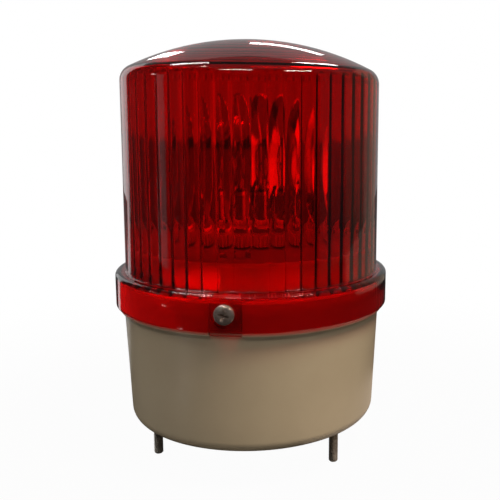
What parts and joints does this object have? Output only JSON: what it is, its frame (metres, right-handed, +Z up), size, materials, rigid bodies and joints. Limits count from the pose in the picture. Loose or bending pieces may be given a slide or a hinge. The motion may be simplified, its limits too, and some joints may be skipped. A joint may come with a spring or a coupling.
{
  "type": "rotating warning beacon",
  "caption": "Round warning beacon with a fluted red lens screwed to a beige base, a lamp and mirror turned by a geared motor, and threaded studs below.",
  "frame": {"origin": "centre of the stud circle on the base's flat mounting face", "axes": "+Z up along the beacon's axis towards the dome, one lens screw faces -Y"},
  "size_m": [0.12, 0.1214, 0.18],
  "materials": {
    "base_plastic": "glossy beige-grey moulding",
    "red_lens": "clear deep red moulding",
    "black_rubber": "soft black rubber",
    "pale_rubber": "soft pale sealing rubber",
    "nickel_steel": "dull nickel plate",
    "zinc_steel": "zinc plate",
    "brass": "bare brass",
    "grey_plastic": "pale grey moulding, browned on top by the lamp's heat",
    "black_plastic": "black moulding",
    "white_plastic": "natural white moulding",
    "mirror_plastic": "metallised mirror on a plastic moulding",
    "brown_fibre": "pressed brown fibre",
    "bulb_glass": "clear thin glass",
    "red_wire": "red wire insulation",
    "blue_wire": "blue wire insulation"
  },
  "bodies": {
    "housing": {"base_housing": "base_plastic", "lens": "red_lens", "lens_gasket": "pale_rubber", "lens_screws": "nickel_steel", "lens_screw_inserts": "brass", "mounting_studs": "zinc_steel", "cable_grommet": "black_rubber", "chassis": "grey_plastic", "chassis_screws": "nickel_steel", "motor_can": "zinc_steel", "motor_end_cap": "black_plastic", "motor_screws": "nickel_steel", "thrust_washer": "black_plastic", "retaining_ring": "nickel_steel", "lamp_socket": "nickel_steel", "contact_insulator": "brown_fibre", "centre_contact": "brass", "bulb_cap": "brass", "bulb_glass": "bulb_glass", "bulb_filament": "nickel_steel", "terminal_block": "white_plastic", "terminal_screws": "nickel_steel", "lamp_leads": "red_wire", "motor_leads": "blue_wire"},
    "rotor": {"turntable_gear": "white_plastic", "reflector": "mirror_plastic", "reflector_screws": "nickel_steel"},
    "pinion": {"drive_pinion": "brass", "motor_shaft": "nickel_steel"}
  },
  "joints": [
    {"name": "rotor_spin", "type": "hinge", "parent": "housing", "child": "rotor", "pos_m": [0, 0, 0.08], "axis": [0, 0, 1], "continuous": true},
    {"name": "pinion_spin", "type": "hinge", "parent": "housing", "child": "pinion", "pos_m": [0, 0.03, 0.08], "axis": [0, 0, 1], "continuous": true}
  ],
  "couplings": [
    {"joint": "pinion_spin", "follows": "rotor_spin", "ratio": -5.25}
  ]
}
